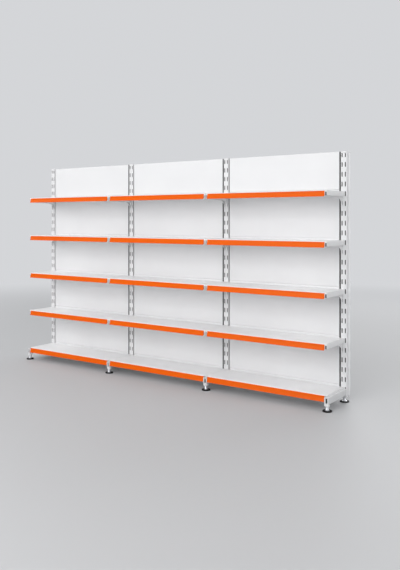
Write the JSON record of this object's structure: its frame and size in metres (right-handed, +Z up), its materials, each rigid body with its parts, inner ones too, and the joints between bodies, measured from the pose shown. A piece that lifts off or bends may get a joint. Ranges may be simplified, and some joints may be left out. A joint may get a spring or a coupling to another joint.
{
  "type": "wall retail shelving",
  "caption": "Single-sided wall shelving run for a shop: slotted uprights, back panels, hook-in shelves with sloping ticket rails, base legs and levelling feet.",
  "frame": {"origin": "on the floor under the middle of the bounding box", "axes": "+X along the run to the right as seen by a shopper, +Y towards the wall, +Z up"},
  "size_m": [3.074, 0.3656, 1.8],
  "materials": {
    "white_powder_coat": "satin white powder coat with a fine orange-peel",
    "white_plastic": "satin moulded plastic",
    "orange_plastic": "satin extruded plastic",
    "zinc_steel": "bright zinc plate on the stems; the pads are black rubber"
  },
  "bodies": {
    "frame": {"upright_1": "white_powder_coat", "upright_2": "white_powder_coat", "upright_3": "white_powder_coat", "upright_4": "white_powder_coat", "upright_caps": "white_plastic", "base_leg_1": "white_powder_coat", "base_leg_2": "white_powder_coat", "base_leg_3": "white_powder_coat", "base_leg_4": "white_powder_coat", "leg_end_plugs": "white_plastic", "foot_bosses": "white_powder_coat", "back_panels_bay_1": "white_powder_coat", "back_panels_bay_2": "white_powder_coat", "back_panels_bay_3": "white_powder_coat", "brackets_level_1_left": "white_powder_coat", "brackets_level_1_right": "white_powder_coat", "brackets_level_2_left": "white_powder_coat", "brackets_level_2_right": "white_powder_coat", "brackets_level_3_left": "white_powder_coat", "brackets_level_3_right": "white_powder_coat", "brackets_level_4_left": "white_powder_coat", "brackets_level_4_right": "white_powder_coat"},
    "shelf_bay_1_base": {"shelf_tray_bay_1_base": "white_powder_coat", "ticket_rail_bay_1_base": "orange_plastic"},
    "shelf_bay_1_level_1": {"shelf_tray_bay_1_level_1": "white_powder_coat", "ticket_rail_bay_1_level_1": "orange_plastic"},
    "shelf_bay_1_level_2": {"shelf_tray_bay_1_level_2": "white_powder_coat", "ticket_rail_bay_1_level_2": "orange_plastic"},
    "shelf_bay_1_level_3": {"shelf_tray_bay_1_level_3": "white_powder_coat", "ticket_rail_bay_1_level_3": "orange_plastic"},
    "shelf_bay_1_level_4": {"shelf_tray_bay_1_level_4": "white_powder_coat", "ticket_rail_bay_1_level_4": "orange_plastic"},
    "shelf_bay_2_base": {"shelf_tray_bay_2_base": "white_powder_coat", "ticket_rail_bay_2_base": "orange_plastic"},
    "shelf_bay_2_level_1": {"shelf_tray_bay_2_level_1": "white_powder_coat", "ticket_rail_bay_2_level_1": "orange_plastic"},
    "shelf_bay_2_level_2": {"shelf_tray_bay_2_level_2": "white_powder_coat", "ticket_rail_bay_2_level_2": "orange_plastic"},
    "shelf_bay_2_level_3": {"shelf_tray_bay_2_level_3": "white_powder_coat", "ticket_rail_bay_2_level_3": "orange_plastic"},
    "shelf_bay_2_level_4": {"shelf_tray_bay_2_level_4": "white_powder_coat", "ticket_rail_bay_2_level_4": "orange_plastic"},
    "shelf_bay_3_base": {"shelf_tray_bay_3_base": "white_powder_coat", "ticket_rail_bay_3_base": "orange_plastic"},
    "shelf_bay_3_level_1": {"shelf_tray_bay_3_level_1": "white_powder_coat", "ticket_rail_bay_3_level_1": "orange_plastic"},
    "shelf_bay_3_level_2": {"shelf_tray_bay_3_level_2": "white_powder_coat", "ticket_rail_bay_3_level_2": "orange_plastic"},
    "shelf_bay_3_level_3": {"shelf_tray_bay_3_level_3": "white_powder_coat", "ticket_rail_bay_3_level_3": "orange_plastic"},
    "shelf_bay_3_level_4": {"shelf_tray_bay_3_level_4": "white_powder_coat", "ticket_rail_bay_3_level_4": "orange_plastic"},
    "front_foot_1_body": {"front_foot_1": "zinc_steel"},
    "front_foot_2_body": {"front_foot_2": "zinc_steel"},
    "front_foot_3_body": {"front_foot_3": "zinc_steel"},
    "front_foot_4_body": {"front_foot_4": "zinc_steel"},
    "rear_foot_1_body": {"rear_foot_1": "zinc_steel"},
    "rear_foot_2_body": {"rear_foot_2": "zinc_steel"},
    "rear_foot_3_body": {"rear_foot_3": "zinc_steel"},
    "rear_foot_4_body": {"rear_foot_4": "zinc_steel"}
  },
  "joints": [
    {"name": "shelf_bay_1_base_lift", "type": "slide", "parent": "frame", "child": "shelf_bay_1_base", "axis": [0, 0, 1], "range_m": [0, 0.06]},
    {"name": "shelf_bay_1_level_1_lift", "type": "slide", "parent": "frame", "child": "shelf_bay_1_level_1", "axis": [0, 0, 1], "range_m": [0, 0.06]},
    {"name": "shelf_bay_1_level_2_lift", "type": "slide", "parent": "frame", "child": "shelf_bay_1_level_2", "axis": [0, 0, 1], "range_m": [0, 0.06]},
    {"name": "shelf_bay_1_level_3_lift", "type": "slide", "parent": "frame", "child": "shelf_bay_1_level_3", "axis": [0, 0, 1], "range_m": [0, 0.06]},
    {"name": "shelf_bay_1_level_4_lift", "type": "slide", "parent": "frame", "child": "shelf_bay_1_level_4", "axis": [0, 0, 1], "range_m": [0, 0.06]},
    {"name": "shelf_bay_2_base_lift", "type": "slide", "parent": "frame", "child": "shelf_bay_2_base", "axis": [0, 0, 1], "range_m": [0, 0.06]},
    {"name": "shelf_bay_2_level_1_lift", "type": "slide", "parent": "frame", "child": "shelf_bay_2_level_1", "axis": [0, 0, 1], "range_m": [0, 0.06]},
    {"name": "shelf_bay_2_level_2_lift", "type": "slide", "parent": "frame", "child": "shelf_bay_2_level_2", "axis": [0, 0, 1], "range_m": [0, 0.06]},
    {"name": "shelf_bay_2_level_3_lift", "type": "slide", "parent": "frame", "child": "shelf_bay_2_level_3", "axis": [0, 0, 1], "range_m": [0, 0.06]},
    {"name": "shelf_bay_2_level_4_lift", "type": "slide", "parent": "frame", "child": "shelf_bay_2_level_4", "axis": [0, 0, 1], "range_m": [0, 0.06]},
    {"name": "shelf_bay_3_base_lift", "type": "slide", "parent": "frame", "child": "shelf_bay_3_base", "axis": [0, 0, 1], "range_m": [0, 0.06]},
    {"name": "shelf_bay_3_level_1_lift", "type": "slide", "parent": "frame", "child": "shelf_bay_3_level_1", "axis": [0, 0, 1], "range_m": [0, 0.06]},
    {"name": "shelf_bay_3_level_2_lift", "type": "slide", "parent": "frame", "child": "shelf_bay_3_level_2", "axis": [0, 0, 1], "range_m": [0, 0.06]},
    {"name": "shelf_bay_3_level_3_lift", "type": "slide", "parent": "frame", "child": "shelf_bay_3_level_3", "axis": [0, 0, 1], "range_m": [0, 0.06]},
    {"name": "shelf_bay_3_level_4_lift", "type": "slide", "parent": "frame", "child": "shelf_bay_3_level_4", "axis": [0, 0, 1], "range_m": [0, 0.06]},
    {"name": "front_foot_1_screw", "type": "slide", "parent": "frame", "child": "front_foot_1_body", "axis": [0, 0, -1], "range_m": [0, 0.01]},
    {"name": "front_foot_2_screw", "type": "slide", "parent": "frame", "child": "front_foot_2_body", "axis": [0, 0, -1], "range_m": [0, 0.01]},
    {"name": "front_foot_3_screw", "type": "slide", "parent": "frame", "child": "front_foot_3_body", "axis": [0, 0, -1], "range_m": [0, 0.01]},
    {"name": "front_foot_4_screw", "type": "slide", "parent": "frame", "child": "front_foot_4_body", "axis": [0, 0, -1], "range_m": [0, 0.01]},
    {"name": "rear_foot_1_screw", "type": "slide", "parent": "frame", "child": "rear_foot_1_body", "axis": [0, 0, -1], "range_m": [0, 0.01]},
    {"name": "rear_foot_2_screw", "type": "slide", "parent": "frame", "child": "rear_foot_2_body", "axis": [0, 0, -1], "range_m": [0, 0.01]},
    {"name": "rear_foot_3_screw", "type": "slide", "parent": "frame", "child": "rear_foot_3_body", "axis": [0, 0, -1], "range_m": [0, 0.01]},
    {"name": "rear_foot_4_screw", "type": "slide", "parent": "frame", "child": "rear_foot_4_body", "axis": [0, 0, -1], "range_m": [0, 0.01]}
  ]
}
